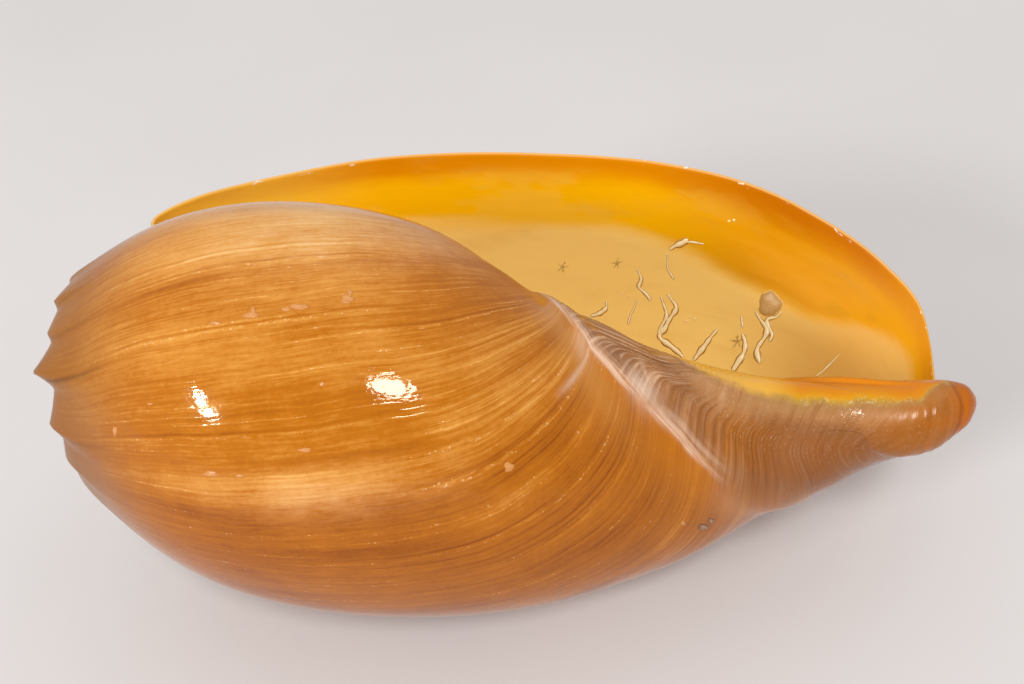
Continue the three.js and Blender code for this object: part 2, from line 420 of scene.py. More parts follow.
def round_wall(outer, inner):
    """Columns along the outer face, back along the inner face and home again."""
    return np.concatenate([outer, inner[:, ::-1], outer[:, :1]], axis=1)


def add_wall(mesh):
    """The spiral wall, outer and inner face in one closed loop of columns."""
    rows = np.array(stepped(ROW_STEPS) + LIP_ROWS, float)
    columns = np.array(stepped(COLUMN_STEPS) + [PROFILE_END], float)
    growth, along = np.meshgrid(rows, columns, indexing="ij")
    points = round_wall(wall_points(growth, along, False), wall_points(growth, along, True))
    growths, places = round_wall(growth, growth), round_wall(along, along)
    sides = round_wall(0 * growth, 0 * growth + 1)
    past_keel = places - keel_course(growths)
    callus = np.where((places > 340) & (sides == 0), above_callus_border(points), -12)
    arc = tip_line(points[..., 0], bearing_of(points))
    tags = zip(TAGS, (growths, places, sides, past_keel, callus, arc))
    _, faces = grid_sheet(mesh, on_table(points), dict(tags), OUTSIDE)
    layer = mesh.verts.layers.float["inside"]
    for face in faces:
        if sum(vert[layer] for vert in face.verts) > 2:
            face.material_index = INSIDE


def add_column(mesh):
    """The column beside the axis, with low winding folds and a round tip."""
    places = np.array(stepped(CORE_STEPS) + [CORE_END])
    bearings = np.linspace(-180, 180, CORE_SIDES + 1)
    place, bearing = np.meshgrid(places, bearings, indexing="ij")
    reach = column_reach(place, bearing)
    turn = np.radians(bearing)
    points = np.stack([place, -reach * np.sin(turn), reach * np.cos(turn)], -1)
    callus = above_callus_border(points)
    arc = tip_line(place, bearing)
    tags = zip(TAGS, (bearing, place, 2 + 0 * place, 60 + 0 * place, callus, arc))
    grid_sheet(mesh, on_table(points), dict(tags), COLUMN)


def add_dome(mesh):
    """The first chamber of the young shell, at the crown's apex."""
    verts = bmesh.ops.create_uvsphere(
        mesh, u_segments=DOME_SIDES[0], v_segments=DOME_SIDES[1], radius=DOME_RADIUS)["verts"]
    layers = {name: mesh.verts.layers.float[name] for name in DOME_TAGS}
    for vert in verts:
        for name, value in DOME_TAGS.items():
            vert[layers[name]] = value
        vert[layers["growth"]] += 14 * math.sin(math.atan2(vert.co.y, vert.co.x))
        vert[layers["place"]] -= vert.co.z
        point = np.array([DOME_PLACE + vert.co.z * DOME_FLATNESS, vert.co.x, vert.co.y])
        vert.co = on_table(point)
    coat(verts, OUTSIDE)


def close_up(mesh):
    """Fills the ends of all forms in a mesh and turns their faces outward."""
    rims = [edge for edge in mesh.edges if edge.is_boundary]
    bmesh.ops.holes_fill(mesh, edges=rims, sides=0)
    bmesh.ops.recalc_face_normals(mesh, faces=mesh.faces[:])


def build_shell():
    mesh = bmesh.new()
    for name in TAGS:
        mesh.verts.layers.float.new(name)
    add_wall(mesh)
    bmesh.ops.remove_doubles(mesh, verts=mesh.verts[:], dist=MERGE_GAP)
    add_column(mesh)
    bmesh.ops.remove_doubles(mesh, verts=mesh.verts[:], dist=MERGE_GAP)
    close_up(mesh)
    add_dome(mesh)
    return put_in_scene("melon_shell", mesh, paint_outside(), paint_inside(), paint_column())


def sum_of(operation, turned=False):
    """An operator of Number, one Math node, with its two sides turned if asked."""
    def apply(self, *others):
        values = (*others, self) if turned else (self, *others)
        node = self.paint.node("ShaderNodeMath", {"operation": operation}, dict(enumerate(values)))
        return Number(self.paint, node.outputs[0])
    return apply


class Number:
    """A shader socket that takes part in sums; each sum adds its Math node."""

    def __init__(self, paint, socket):
        self.paint, self.socket = paint, socket

    __add__ = __radd__ = sum_of("ADD")
    __sub__ = sum_of("SUBTRACT")
    __rsub__ = sum_of("SUBTRACT", turned=True)
    __mul__ = __rmul__ = sum_of("MULTIPLY")
    __truediv__ = sum_of("DIVIDE")
    __pow__ = sum_of("POWER")
    most = sum_of("MAXIMUM")
    least = sum_of("MINIMUM")
    bearing = sum_of("ARCTAN2")
    sine = sum_of("SINE")
    exponent = sum_of("EXPONENT")

    def bell(self, centre, width):
        """One at the centre, falling away on both sides."""
        off = (self - centre) / width
        return (off * off * -1).exponent()

    def towards(self, other, share):
        """This number at share zero and the other at share one."""
        return self + (other - self) * share

    def rise(self, low, high):
        """Zero at low, one at high, smooth between them."""
        node = self.paint.node(
            "ShaderNodeMapRange", {"interpolation_type": "SMOOTHSTEP"},
            {0: self, 1: low, 2: high, 3: 0.0, 4: 1.0})
        return Number(self.paint, node.outputs[0])


class Paint:
    """A new material or, of the kind worlds, a new sky, and its nodes."""

    def __init__(self, name, kind="materials"):
        self.owner = getattr(bpy.data, kind).new(name)
        self.owner.use_nodes = True
        self.tree = self.owner.node_tree
        self.tree.nodes.clear()

    def node(self, kind, settings=None, inputs=None):
        node = self.tree.nodes.new(kind)
        for name, value in (settings or {}).items():
            setattr(node, name, value)
        for name, value in (inputs or {}).items():
            socket = node.inputs[name]
            if isinstance(value, Number):
                value = value.socket
            if isinstance(value, bpy.types.NodeSocket):
                self.tree.links.new(value, socket)
            elif isinstance(value, tuple) and len(value) == 3 and socket.type == "RGBA":
                socket.default_value = (*value, 1)
            else:
                socket.default_value = value
        return node

    def tag(self, name):
        node = self.node("ShaderNodeAttribute", {"attribute_name": name})
        return Number(self, node.outputs["Fac"])

    def noise(self, where, scale, detail, rough):
        node = self.node("ShaderNodeTexNoise", None, {
            "Vector": where, "Scale": scale, "Detail": detail, "Roughness": rough})
        return Number(self, node.outputs[0])

    def streaks(self, across, along, seed, detail, rough=0.55):
        """Noise over the wall, stretched by how its two directions are scaled."""
        where = self.node("ShaderNodeCombineXYZ", None, {0: across, 1: along, 2: seed})
        return self.noise(where.outputs[0], 1.0, detail, rough)

    def grain(self, scale, detail=3.0, rough=0.6):
        """Noise in space, with so many cells to the metre."""
        return self.noise(self.node("ShaderNodeTexCoord").outputs["Object"], scale, detail, rough)

    def ramp(self, value, stops):
        node = self.node("ShaderNodeValToRGB", None, {0: value})
        elements = node.color_ramp.elements
        while len(elements) < len(stops):
            elements.new(1)
        for element, (place, colour) in zip(elements, stops):
            element.position, element.color = place, (*colour, 1)
        return node.outputs[0]

    def level(self, value, stops):
        """A number read off a list of growths with levels from minus one to one."""
        low, high = BAND_RANGE
        shades = [((place - low) / (high - low), (0.5 + 0.5 * amount,) * 3)
                  for place, amount in stops]
        shade = self.ramp((value - low) / (high - low), shades)
        return Number(self, self.node("ShaderNodeRGBToBW", None, {0: shade}).outputs[0]) * 2 - 1

    def mix(self, low, high, share, blend="MIX"):
        node = self.node("ShaderNodeMix", {"data_type": "RGBA", "blend_type": blend},
                         {0: share, 6: low, 7: high})
        return node.outputs[2]

    def coats(self, colour, *coats):
        """Colours laid over the first one, each with its share."""
        for coat, share in coats:
            colour = self.mix(colour, coat, share)
        return colour

    def combed(self, line, spacing, thin, shift=0.0):
        """Thin lines side by side at uneven distances."""
        phase = line / spacing + (line / (spacing * 2.9) + shift).sine() * 0.9
        phase = phase + (line / (spacing * 1.3) + shift * 2).sine() * 0.35
        swing = (phase * math.pi).sine()
        return (swing * swing) ** thin

    def spots(self, across, along, places, reach, arms=0):
        """One soft spot at each place of a list, round or with arms like a star."""
        total = None
        for at_across, at_along, size in places:
            u = (across - at_across) / (reach[0] * size)
            v = (along - at_along) / (reach[1] * size)
            far = (u * u + v * v) ** 0.5
            if arms:
                swing = (v.bearing(u) * (arms / 2) + at_along).sine()
                far = far / ((swing * swing) ** 3 * 0.85 + 0.3)
            spot = far.bell(0, 1)
            total = spot if total is None else total.most(spot)
        return total

    def bump(self, height, distance):
        return self.node("ShaderNodeBump", None, {"Height": height, "Distance": distance}).outputs[0]

    def finish(self, colour, rough, inputs):
        inputs = {"Base Color": colour, "Roughness": rough, **inputs}
        shader = self.node("ShaderNodeBsdfPrincipled", None, inputs)
        self.node("ShaderNodeOutputMaterial", None, {"Surface": shader.outputs[0]})
        return self.owner


# Colours as light values, read from the lit and the shaded sides.
DEEP_BROWN = (0.25, 0.055, 0.001)
ORANGE_BROWN = (0.46, 0.138, 0.004)
TAN = (0.66, 0.28, 0.045)
PALE_TAN = (0.84, 0.48, 0.16)
CROWN_GREY = (0.24, 0.088, 0.016)
CREASE_SHADE = (0.10, 0.030, 0.004)
WORN_TAN = (0.80, 0.47, 0.24)
# Painted reflection of the pale floor, laid on the undersides.
FLOOR_REFLECTION_PINK = (0.50, 0.26, 0.15)
FLECK_CREAM = (0.95, 0.66, 0.36)
KEEL_WHITE = (0.78, 0.54, 0.39)
UNDER_KEEL_TAN = (0.62, 0.25, 0.045)
FASCIOLE_BROWN = (0.35, 0.134, 0.038)
FASCIOLE_DARK = (0.20, 0.055, 0.008)
FASCIOLE_ORANGE = (0.38, 0.115, 0.007)
FASCIOLE_TAN = (0.50, 0.235, 0.085)
ARC_PALE = (0.72, 0.44, 0.26)
CRUST_OLIVE = (0.36, 0.20, 0.06)
CRUST_WHITE = (0.70, 0.58, 0.36)
CALLUS_GREEN = (0.54, 0.33, 0.004)
CALLUS_YELLOW = (0.66, 0.31, 0.0)
CALLUS_AMBER = (0.66, 0.23, 0.0)
CALLUS_GOLD = (0.86, 0.46, 0.06)
CALLUS_ORANGE = (0.66, 0.20, 0.0)
RIM_ORANGE = (0.76, 0.25, 0.0)
AMBER = (0.97, 0.49, 0.0)
GOLD = (0.93, 0.52, 0.05)
PALE_OCHRE = (1.0, 0.65, 0.17)
RIM_PAINTED_LIGHT = (1.0, 0.60, 0.06)
FRONT_SHADE = (0.72, 0.58, 0.45)
DEEP_OCHRE = (0.72, 0.36, 0.05)
STAR_BROWN = (0.25, 0.12, 0.03)
SMUDGE_BROWN = (0.50, 0.22, 0.005)
TIP_RED = (0.25, 0.045, 0.003)
TIP_ORANGE = (0.47, 0.115, 0.002)
EDGE_PALE = (0.84, 0.50, 0.17)
CHIP_WHITE = (0.88, 0.78, 0.62)
WARM_GLOSS = (1.0, 0.93, 0.78)

# Marks on the inside: growth, place, size. Reach across and along growth lines.
STARS = [(-24.8, 177.0, 1.1), (-23.2, 196.7, 1.0), (-35.0, 250.7, 1.5)]
STAR_SIZE = (1.1, 1.6)
STAR_ARMS = 5
SMUDGES = [(-17.6, 280.3, 1.1), (-13, 292, 0.5)]
SMUDGE_SIZE = (1.6, 4.6)

# Depth of the finest relief, in metres, and spacing of fine lines, in degrees of growth.
BUMP_OUTSIDE = 0.00008
BUMP_INSIDE = 0.0003
BUMP_COLUMN = 0.0002
BUMP_MARK = 0.0001
THREAD_SPACING = 2.3
GROOVE_SPACING = 3.1
SHADE_BEHIND_REST = 1.0

# Tone of the growth bands, light and dark, at three places along the shell. The oldest growth, on the
# top, is set lighter partly as painted light.
BAND_RANGE = (-300, -140)
BANDS_CROWN_SIDE = [
    (-300, 0.5), (-285, 0.6), (-270, 0.7), (-260, 0.8), (-253, 0.2), (-250.4, -0.1),
    (-249.2, -0.9), (-247.6, -0.1), (-240, -0.1), (-233, 0.35), (-226, 0.1), (-213, -0.1),
    (-205, 0), (-197, 0.55), (-192.5, 0), (-190, -0.9), (-187, -0.4), (-181, -0.6),
    (-172, -0.4), (-150, -0.4),
]
BANDS_MIDDLE = [
    (-300, 0.4), (-284, 0.8), (-268, 1.0), (-258, 0.95), (-250, 0.35), (-240, 0.25),
    (-232, -0.1), (-221, 0.2), (-214, -0.1), (-207, 0.05), (-203.5, 0), (-202, -0.5), (-199, 0.8),
    (-194.5, 0.9), (-191, -0.15), (-187, -0.5), (-183, -0.25), (-179, -0.8), (-174, -0.3),
    (-166, -0.1), (-158, -0.3),
]
BANDS_CANAL_SIDE = [
    (-300, 0.1), (-275, 0.2), (-262, 0.1), (-252, -0.2), (-243, -0.3), (-231, -0.3),
    (-222, 0), (-216, 0.25), (-210, 0), (-204, 0.5), (-199, 0.4), (-194, 0),
    (-187, -0.3), (-183, 0.1), (-178, -0.1), (-171, -0.6), (-166, 0), (-160, -0.4),
    (-152, -0.35), (-146, -0.1),
]
# Thin raised lines, left where the shell once stopped growing: growth, width, strength.
REST_LINES_CROWN_SIDE = [
    (-257.5, 0.6, 0.8), (-252, 0.6, 0.8), (-241, 0.5, 0.5), (-233, 0.6, 1.0),
    (-216.5, 0.5, 0.4), (-208, 0.5, 0.6), (-184, 0.6, 0.5),
]
REST_LINES_CANAL_SIDE = [
    (-227.5, 0.6, 0.9), (-216.5, 0.5, 0.6), (-208.5, 0.5, 0.6), (-204, 0.5, 0.7),
    (-199.5, 0.7, 1.0), (-192, 1.3, 0.8), (-184, 0.6, 0.7), (-176, 0.6, 0.7), (-168, 0.6, 0.5),
]


def peaks(lines):
    stops = []
    for centre, width, amount in lines:
        stops += [(centre - width, 0), (centre, amount), (centre + width, 0)]
    return stops


def rest_lines(paint, line, place):
    """Strength of the raised rest lines, which differ towards the canal."""
    crown_side = paint.level(line, peaks(REST_LINES_CROWN_SIDE))
    return crown_side.towards(paint.level(line, peaks(REST_LINES_CANAL_SIDE)),
                              place.rise(180, 215))


def pleat_creases():
    """Painted shade: a dark line in the steep flank of each crown pleat, by growth."""
    edge = OUTLINE[SHOULDER_ROW, 2]
    low, high = BAND_RANGE
    creases = [(turn - edge + 3.5, 1.4, share) for turn, share in sorted(PLEATS)
               if low + 2 < turn - edge < high - 8]
    return peaks(creases)


def gloss(level, normal):
    """Shader values that the shell's glossy materials have in common."""
    return {"IOR": 1.45, "Specular IOR Level": level, "Specular Tint": WARM_GLOSS,
            "Normal": normal}


def paint_edge(paint, colour, growth, place):
    """The thin pale edge of the outer lip and its tiny chips, over a colour."""
    chips = paint.streaks(growth * 0.5, place * 0.16, 5.0, 3.0, 0.6)
    edge = growth.rise(-0.5, -0.15) * place.rise(345, 330) * 0.7
    chipped = growth.rise(-1.3, -0.2) * chips.rise(0.635, 0.675)
    colour = paint.mix(colour, EDGE_PALE, edge.most(chipped))
    return paint.mix(colour, CHIP_WHITE, chipped)


def fasciole_look(paint, growth, place, keel, callus, arc):
    """Brown of the scaly band, with pale arcs, and the callus strip beside it."""
    grain = paint.grain(420.0)
    cloud = paint.grain(95.0, 2.0, 0.5)
    fleck = paint.grain(1300.0, 2.0)
    young = growth.rise(-176, -146)
    beside = keel.rise(20, 34) * young
    swing = (ridge_phase(growth, Number.sine) * math.pi).sine()
    flow = paint.streaks(growth * 0.34, place * 0.02, 8.0, 3.0, 0.6)
    flow_arc = paint.streaks(arc * 0.42, callus * 0.05, 2.0, 3.0, 0.62)
    soft = paint.streaks(growth * 0.22, place * 0.06, 3.0, 2.0, 0.6)
    arcs = (swing * swing) ** 3 * (0.6 - young * 0.25)
    arcs = arcs + flow.rise(0.5, 0.62) * (0.6 - young * 0.2)
    height = (arcs * (0.8 - young * 0.55)).towards(flow_arc, beside)
    arcs = arcs * soft.rise(0.34, 0.58) * (1 - young * 0.62)
    arcs = arcs.towards(flow_arc.rise(0.5, 0.7) * 0.3, beside)
    dark = flow.rise(0.47, 0.34) * (1 - young * 0.4)
    dark = dark.towards(flow_arc.rise(0.47, 0.34) * 0.55, beside)
    front = growth.rise(-150, -120) * keel.rise(2, 9) * keel.rise(38, 24)
    worn = callus.rise(-10, -4) * (0.35 + cloud * 0.9)
    edge = callus + (grain - 0.5) * 2.2 + (cloud - 0.5) * 3.0
    glaze = paint.ramp(edge / 6.5 + 0.1, [
        (0.05, CALLUS_GREEN), (0.17, CALLUS_YELLOW), (0.40, CALLUS_AMBER), (0.72, CALLUS_ORANGE)])
    glaze = paint.mix(glaze, CALLUS_GOLD, arc.rise(207, 193) * 0.8)
    colour = paint.coats(
        FASCIOLE_BROWN,
        (FASCIOLE_ORANGE, front),
        (FASCIOLE_TAN, worn.least(0.85)),
        (FASCIOLE_DARK, dark * (0.5 + young * 0.35 - worn * 0.25)),
        (ARC_PALE, arcs.least(0.9) * (1 - worn * 0.4)),
        (CROWN_GREY, cloud.rise(0.55, 0.75) * 0.3),
        (FASCIOLE_DARK, arc.rise(186, 206) * (1 - worn * 0.7) * 0.42),
        (CRUST_WHITE, fleck.rise(0.60, 0.66) * keel.rise(8, 20) * 0.16),
        (CRUST_OLIVE, edge.bell(-1.5, 1.6) * (0.2 + cloud * 0.6) * arc.rise(186, 200)),
        (glaze, edge.rise(-2.0, 1.4)),
        (CRUST_WHITE, fleck.rise(0.56, 0.63) * edge.bell(-0.4, 1.0) * arc.rise(200, 214) * 0.4))
    return colour, height, grain


def keel_strand(paint, growth, keel):
    """The pale strand along the keel, with a fork, a branch and a worn patch."""
    streaked = paint.streaks(growth * 0.035, (keel + growth * 0.09) * 0.5, 2.0, 3.0, 0.6)
    soft = paint.streaks(growth * 0.10, keel * 0.16, 3.0, 1.0) - 0.5
    strand = (keel + soft * 3).bell(-0.4, 1.8) * 0.75 + (keel + soft * 4).bell(2.6, 3.2) * 0.6
    strand = strand * (streaked.rise(0.36, 0.6) * 0.8 + 0.2) * growth.rise(-118, -150)
    fork = (keel - (-158 - growth) * 1.1).bell(0.6, 2.0) * growth.rise(-182, -166) * 0.7
    fork = fork * growth.rise(-152, -158) * keel.rise(0, 1.5)
    branch = (growth + 193 - (keel + 10) * 0.12).bell(0, 1.3) * keel.rise(-34, -18)
    glow = growth.bell(-197, 6) * keel.rise(-16, -5) * keel.rise(5, 0)
    aside = fork.most(branch * keel.rise(2, -3) * 0.7).most(glow * 0.55)
    patch = growth.bell(-168, 7) * keel.bell(4.5, 6.5) * (streaked.rise(0.3, 0.5) * 0.6 + 0.4)
    return strand.most(patch).most(aside * 0.8).least(1.0)


def paint_outside():
    paint = Paint("glossy_outside")
    growth, place = paint.tag("growth"), paint.tag("place")
    keel, callus, arc = paint.tag("keel"), paint.tag("callus"), paint.tag("arc")
    waist = place.rise(185, 255)
    wander = paint.streaks(growth * 0.035, place * 0.018, 0.0, 2.0) - 0.5
    line = growth + wander * 2.4
    fine = paint.streaks(line * 0.9, place * 0.009, 0.0, 3.0, 0.6)
    broad = paint.streaks(line * 0.13, place * 0.010, 3.0, 2.0, 0.5) - 0.5
    cloud = paint.streaks(growth * 0.035, place * 0.022, 9.0, 2.0, 0.5) - 0.5
    patchy = paint.streaks(line * 0.3, place * 0.016, 7.0, 1.0)
    crumb = paint.streaks(line * 0.9, place * 0.13, 1.0, 2.0).rise(0.32, 0.58)
    dashes = paint.streaks(line * 1.5, place * 0.07, 6.0, 4.0, 0.7) - 0.5
    mottle = paint.grain(75.0, 4.0, 0.65) - 0.5
    # Growth bands; their light top is partly painted light.
    bands = paint.level(line, BANDS_CROWN_SIDE)
    bands = bands.towards(paint.level(line, BANDS_MIDDLE), place.rise(95, 165))
    bands = bands.towards(paint.level(line, BANDS_CANAL_SIDE), place.rise(175, 235))
    bands = bands * (place.rise(55, 115) * 0.85 + 0.15)
    rests = rest_lines(paint, line, place)
    # Painted shadow: a dark line just past each raised rest line.
    behind = rest_lines(paint, line + SHADE_BEHIND_REST, place)
    light = paint.combed(line, THREAD_SPACING, 14) * patchy.rise(0.46, 0.66)
    dark = paint.combed(line, GROOVE_SPACING, 16, 1.7) * patchy.rise(0.55, 0.38)
    threads = (light * 0.7 + rests) * (crumb * 0.9 + 0.1) * place.rise(34, 80)
    unseen = growth.rise(-160, -135).most(growth.rise(-290, -315))
    tone = (fine - 0.5) * (1.1 + waist * 0.8) + cloud * 0.7
    tone = tone + broad * (0.6 + unseen * place.rise(40, 90) * 2.6)
    tone = tone + bands * 0.95 + threads * 0.75 - dark * (0.3 + waist * 0.25)
    tone = tone - behind * place.rise(60, 100) * 0.55 + dashes * 1.3 + mottle * 0.8
    # Painted shade: the younger growth, on the body's lower flank, is darker.
    tone = tone + 0.08 - growth.rise(-225, -192) * 0.4
    tone = tone + (paint.grain(700.0, 2.0) - 0.5) * 0.5
    worn = growth.bell(-194, 5) * place.bell(168, 42) * 0.6
    worn = worn.most(growth.bell(-262, 13) * place.bell(190, 60) * 0.8)
    flecks = paint.grain(1100.0, 2.0, 0.5).rise(0.60, 0.68) * threads.rise(0.12, 0.5)
    # Painted shade in the steep flank of each pleat, and a darker line along the crown's rim.
    creases = paint.level(growth, pleat_creases()) * place.rise(78, 44)
    creases = creases.most(place.bell(SHOULDER, 2.6) * 0.7)
    body = paint.coats(
        paint.ramp(tone * 0.28 + 0.5, [
            (0.10, DEEP_BROWN), (0.46, ORANGE_BROWN), (0.70, TAN), (0.94, PALE_TAN)]),
        (WORN_TAN, worn * (0.3 + (dashes + mottle) * 1.1)),
        (FLECK_CREAM, flecks * 0.42),
        (CROWN_GREY, place.rise(104, 26) * (0.84 + growth.rise(-215, -195) * 0.1)),
        (CREASE_SHADE, creases * 0.75),
        (UNDER_KEEL_TAN, keel.bell(-11, 9) * (0.1 + growth.rise(-162, -190) * 0.5)),
        (ORANGE_BROWN, keel.bell(-10, 8) * growth.rise(-172, -154) * 0.5),
        # Painted reflection of the floor on the underside below the keel.
        (FLOOR_REFLECTION_PINK, growth.rise(-140, -120) * keel.bell(-8, 12) * 0.35))

    young = growth.rise(-140, -115)
    band, band_height, _ = fasciole_look(paint, growth, place, keel, callus, arc)
    band = paint.coats(
        band,
        (FASCIOLE_DARK, growth.rise(-128, -104) * 0.22),
        # Painted reflection of the floor on the underside towards the canal.
        (FLOOR_REFLECTION_PINK, growth.rise(-104, -62) * arc.rise(226, 200) * 0.25))
    body = paint.coats(
        body,
        (band, keel.rise(-1.5 - young * 14, 3.5 + young * 3)),
        (KEEL_WHITE, keel_strand(paint, growth, keel) * 0.85))
    body = paint_edge(paint, body, growth, place)

    ripple = paint.streaks(line * 0.5, place * 0.16, 5.0, 2.0, 0.6)
    peel = paint.grain(240.0, 1.0, 0.5)
    height = threads * 0.6 + fine * 0.5 + ripple * 0.8 + peel * (0.6 + waist * 1.2)
    height = height + band_height * keel.rise(0, 5) * 2.2
    rough = 0.045 + fine * 0.05 + keel.bell(0, 5) * 0.1 + keel.rise(0, 8) * 0.06
    rough = rough + growth.rise(-222, -238) * keel.rise(-90, -50) * 0.4
    rough = rough + place.rise(96, 40) * 0.2
    return paint.finish(body, rough, gloss(0.36, paint.bump(height, BUMP_OUTSIDE)))


def paint_inside():
    paint = Paint("glossy_inside")
    growth, place = paint.tag("growth"), paint.tag("place")
    soft = paint.streaks(growth * 0.06, place * 0.016, 0.0, 3.0) - 0.5
    streak = paint.streaks(growth * 0.22, place * 0.012, 4.0, 4.0, 0.6) - 0.5
    blotch = paint.streaks(growth * 0.10, place * 0.022, 8.0, 3.0)
    tint = paint.streaks(growth * 0.15, place * 0.03, 1.0, 3.0)
    spiky = paint.streaks(growth * 1.5, place, 4.0, 3.0, 0.7) - 0.5
    ripple = paint.streaks(growth * 0.12, place * 0.03, 2.0, 2.0)
    towards_canal = place.rise(190, 268) * 7 - place.rise(272, 314) * 13
    depth = growth + towards_canal + streak * 3.4 + soft * 5
    orange = depth.rise(-18, -13.5)
    rim = (growth + streak * 3.4 + soft * 6).rise(-8.5, -2.5)
    patches = blotch.rise(0.52, 0.6) * growth.rise(-19, -12) * growth.rise(-2, -6)
    colour = paint.coats(
        PALE_OCHRE,
        (AMBER, orange),
        (RIM_ORANGE, rim * (0.9 - place.rise(275, 300) * 0.5)),
        (GOLD, patches * (0.45 - place.rise(220, 260) * 0.3)),
        (DEEP_OCHRE, tint.rise(0.5, 0.8) * 0.25),
        (DEEP_OCHRE, growth.rise(-60, -160) * 0.6))
    front = place.rise(238, 294).most(place.rise(190, 250) * orange)
    colour = paint.mix(colour, FRONT_SHADE, front, "MULTIPLY")
    smudge = paint.spots(growth + spiky * 7, place + spiky * 12, SMUDGES, SMUDGE_SIZE)
    stars = paint.spots(growth + spiky * 1.9, place + spiky * 3, STARS, STAR_SIZE, STAR_ARMS)
    colour = paint.coats(
        colour,
        # Painted light: the lip's inner rim towards the crown is lightened.
        (RIM_PAINTED_LIGHT, place.rise(112, 60) * growth.rise(-14, -7) * 0.7),
        (SMUDGE_BROWN, smudge.rise(0.0, 0.9) * 0.35),
        (STAR_BROWN, stars.rise(0.1, 0.9) * 0.75))
    colour = paint_edge(paint, colour, growth, place)
    normal = paint.bump(ripple * 2.0 + streak * 0.4, BUMP_INSIDE)
    return paint.finish(colour, 0.36 + tint * 0.16, gloss(0.12, normal))


def paint_column():
    paint = Paint("glossy_column")
    bearing, place, callus = paint.tag("growth"), paint.tag("place"), paint.tag("callus")
    keel, arc = paint.tag("keel"), paint.tag("arc")
    colour, height, grain = fasciole_look(paint, bearing * -0.35 - 95, place, keel, callus, arc)
    cloud = paint.grain(110.0, 3.0, 0.5)
    rim_line = arc + (grain - 0.5) * 0.8
    rim = paint.mix(TIP_ORANGE, FASCIOLE_ORANGE, cloud.rise(0.5, 0.8) * 0.5)
    colour = paint.coats(
        colour,
        (FASCIOLE_ORANGE, place.rise(216, 240) * callus.rise(0, -3) * 0.55),
        # Painted reflection of the floor on the canal tip's underside.
        (FLOOR_REFLECTION_PINK, bearing.rise(50, 95) * place.rise(232, 246) * 0.35),
        (CALLUS_ORANGE, place.rise(226, 244) * callus.rise(-1, 1) * 0.8),
        (TIP_ORANGE, place.rise(232, 246) * cloud.rise(0.4, 0.65) * 0.5),
        (TIP_RED, rim_line.bell(249.7, 0.7) * 0.5),
        (rim, rim_line.rise(250.2, 250.9)))
    rough = 0.14 + grain * 0.12 + arc.rise(240, 228) * 0.25
    return paint.finish(colour, rough, gloss(0.3, paint.bump(height, BUMP_COLUMN)))


shell = build_shell()
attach(shell, "root")
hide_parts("shell")

# The view of the photograph, in the shell's own frame.
IMAGE_WIDTH = 1024
IMAGE_HEIGHT = 684
LENS_PIXELS = 1300.0
PIXELS_PER_MM = 3.32
ORIGIN_PIXEL = (95.3691, 359.9591)
CAMERA_ROLL = -0.0433
CAMERA_YAW = -0.0942
SENSOR_MM = 36.0


def aim_camera():
    """The photograph's camera: its three axes and its place."""
    roll_c, roll_s = math.cos(CAMERA_ROLL), math.sin(CAMERA_ROLL)
    yaw_c, yaw_s = math.cos(CAMERA_YAW), math.sin(CAMERA_YAW)
    right = Vector((roll_c * yaw_c, -roll_s, roll_c * yaw_s))
    top = Vector((roll_s * yaw_c, roll_c, roll_s * yaw_s))
    back = Vector((-yaw_s, 0, yaw_c))
    across = (IMAGE_WIDTH / 2 - ORIGIN_PIXEL[0]) / PIXELS_PER_MM
    above = (ORIGIN_PIXEL[1] - IMAGE_HEIGHT / 2) / PIXELS_PER_MM
    place = right * across + top * above + back * (LENS_PIXELS / PIXELS_PER_MM)
    turn = Matrix([x_axis, y_axis, up_axis])
    axes = Matrix([turn @ right, turn @ top, turn @ back]).transposed()
    return (turn @ place + Vector(SHELL_PLACE)) * MM, axes


camera_place, camera_axes = aim_camera()
lens = bpy.data.cameras.new("camera")
lens.sensor_width = SENSOR_MM
lens.lens = SENSOR_MM * LENS_PIXELS / IMAGE_WIDTH
lens.clip_start = 0.01
lens.clip_end = 50
camera = bpy.data.objects.new("camera", lens)
camera.matrix_world = Matrix.Translation(camera_place) @ camera_axes.to_4x4()
bpy.context.scene.collection.objects.link(camera)
bpy.context.scene.camera = camera


def wall_tree(side, from_growth):
    """One side of the shell's wall, from a growth line on, for lines of sight."""
    mesh = bmesh.new()
    mesh.from_mesh(shell.data)
    layer = mesh.verts.layers.float["growth"]
    others = [face for face in mesh.faces
              if face.material_index != side or face.verts[0][layer] < from_growth]
    bmesh.ops.delete(mesh, geom=others, context="FACES")
    tree = BVHTree.FromBMesh(mesh)
    mesh.free()
    return tree


OUTER_WALL = wall_tree(OUTSIDE, -330)
INNER_WALL = wall_tree(INSIDE, -70)


def on_wall(px, py, wall):
    """Where the line of sight through a pixel of the photograph meets a wall."""
    ray = camera_axes @ Vector(((px - IMAGE_WIDTH / 2) / LENS_PIXELS,
                                (IMAGE_HEIGHT / 2 - py) / LENS_PIXELS, -1))
    place, normal, _, _ = wall.ray_cast(camera_place, ray.normalized())
    if normal.dot(ray) > 0:
        normal = -normal
    return np.array(place), np.array(normal)


